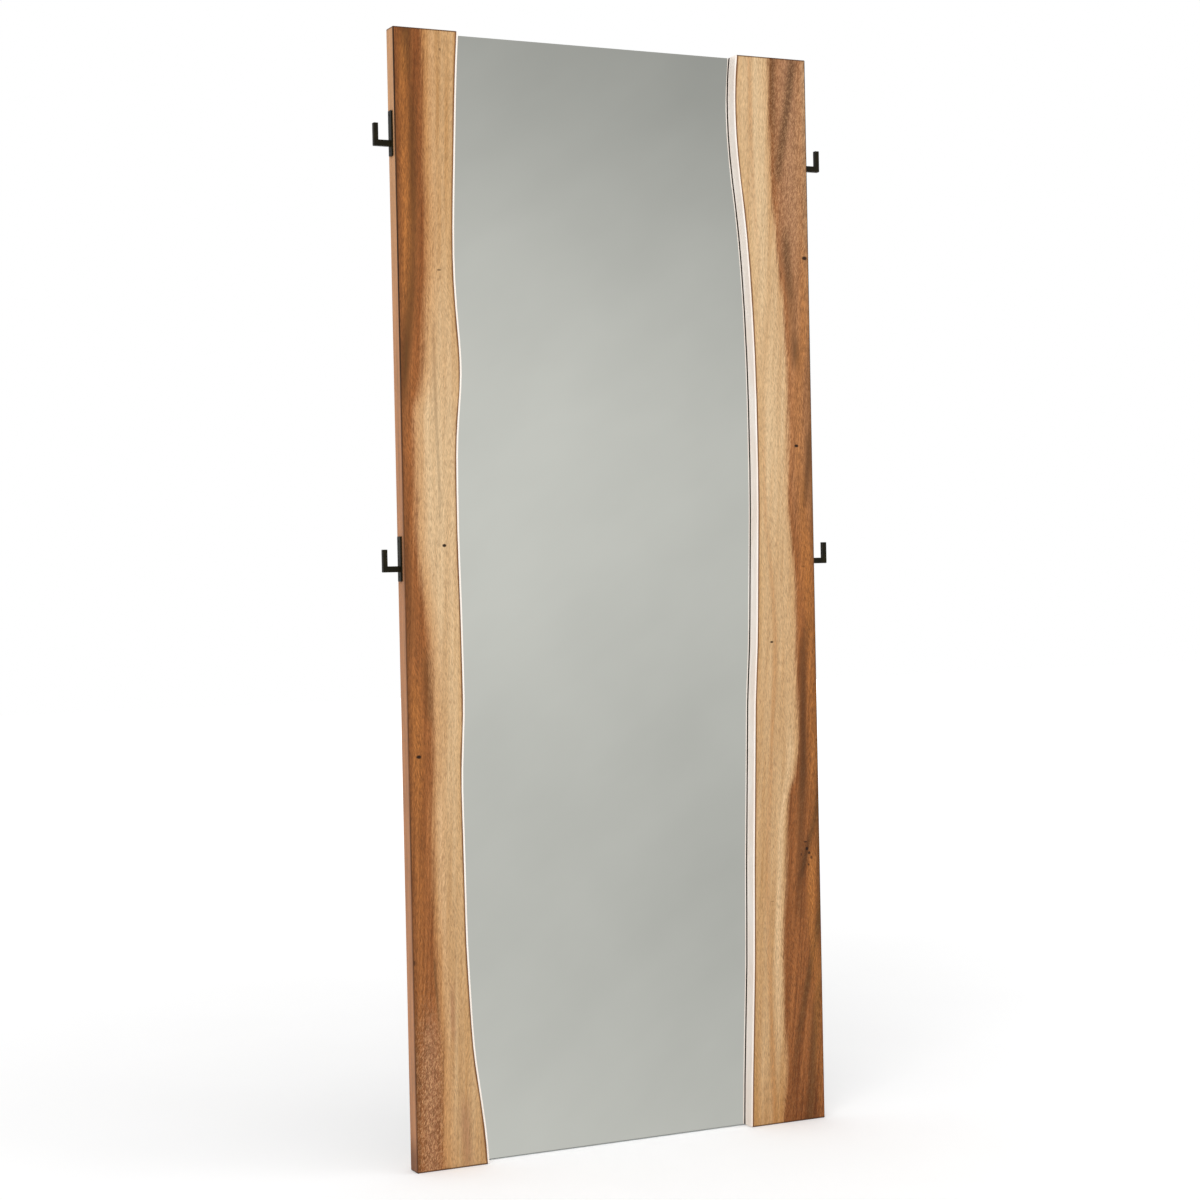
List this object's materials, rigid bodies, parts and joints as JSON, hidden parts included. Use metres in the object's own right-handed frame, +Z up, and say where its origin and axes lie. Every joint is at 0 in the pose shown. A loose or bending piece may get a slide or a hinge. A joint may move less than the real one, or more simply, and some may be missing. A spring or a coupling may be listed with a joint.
{
  "type": "floor mirror",
  "caption": "Tall rectangular floor mirror held between two live-edge wooden planks, with a metal band along each wavy edge and fixed L hooks on the outer sides.",
  "frame": {"origin": "on the floor, under the middle of the overall width and depth", "axes": "+X to the right as the viewer faces the glass, +Y away from the viewer, +Z up"},
  "size_m": [0.888, 0.062, 1.98],
  "materials": {
    "plank_wood": "oiled walnut with pale sapwood along the live edge",
    "band_metal": "satin, warm pale",
    "mirror": "silvered glass",
    "edge_seal": "matte dark brown",
    "foam_tape": "matte foam",
    "panel_board": "black painted fibreboard",
    "batten_wood": "bare planed softwood",
    "bumper_rubber": "matte",
    "dark_metal": "dark bronze, satin",
    "zinc_steel": "zinc plated"
  },
  "bodies": {
    "frame": {"left_stile": "plank_wood", "right_stile": "plank_wood", "left_edge_band": "band_metal", "right_edge_band": "band_metal", "left_edge_seal": "edge_seal", "right_edge_seal": "edge_seal", "mirror_glass": "mirror", "glass_tape": "foam_tape", "back_panel": "panel_board", "top_batten": "batten_wood", "middle_batten": "batten_wood", "foot_rail": "batten_wood", "wall_bumpers": "bumper_rubber", "left_upper_hook": "dark_metal", "left_lower_hook": "dark_metal", "right_upper_hook": "dark_metal", "right_lower_hook": "dark_metal", "left_hanger_strap": "zinc_steel", "right_hanger_strap": "zinc_steel", "panel_screws": "zinc_steel", "batten_screws": "zinc_steel", "hook_screws": "dark_metal", "hanger_screws": "zinc_steel"},
    "left_ring": {"left_hanger_ring": "zinc_steel"},
    "right_ring": {"right_hanger_ring": "zinc_steel"}
  },
  "joints": [
    {"name": "left_ring_swing", "type": "hinge", "parent": "frame", "child": "left_ring", "pos_m": [-0.353, 0.01333, 1.75], "axis": [1, 0, 0], "range_deg": [-3.5, 176]},
    {"name": "right_ring_swing", "type": "hinge", "parent": "frame", "child": "right_ring", "pos_m": [0.353, 0.01333, 1.75], "axis": [1, 0, 0], "range_deg": [-3.5, 176]}
  ]
}
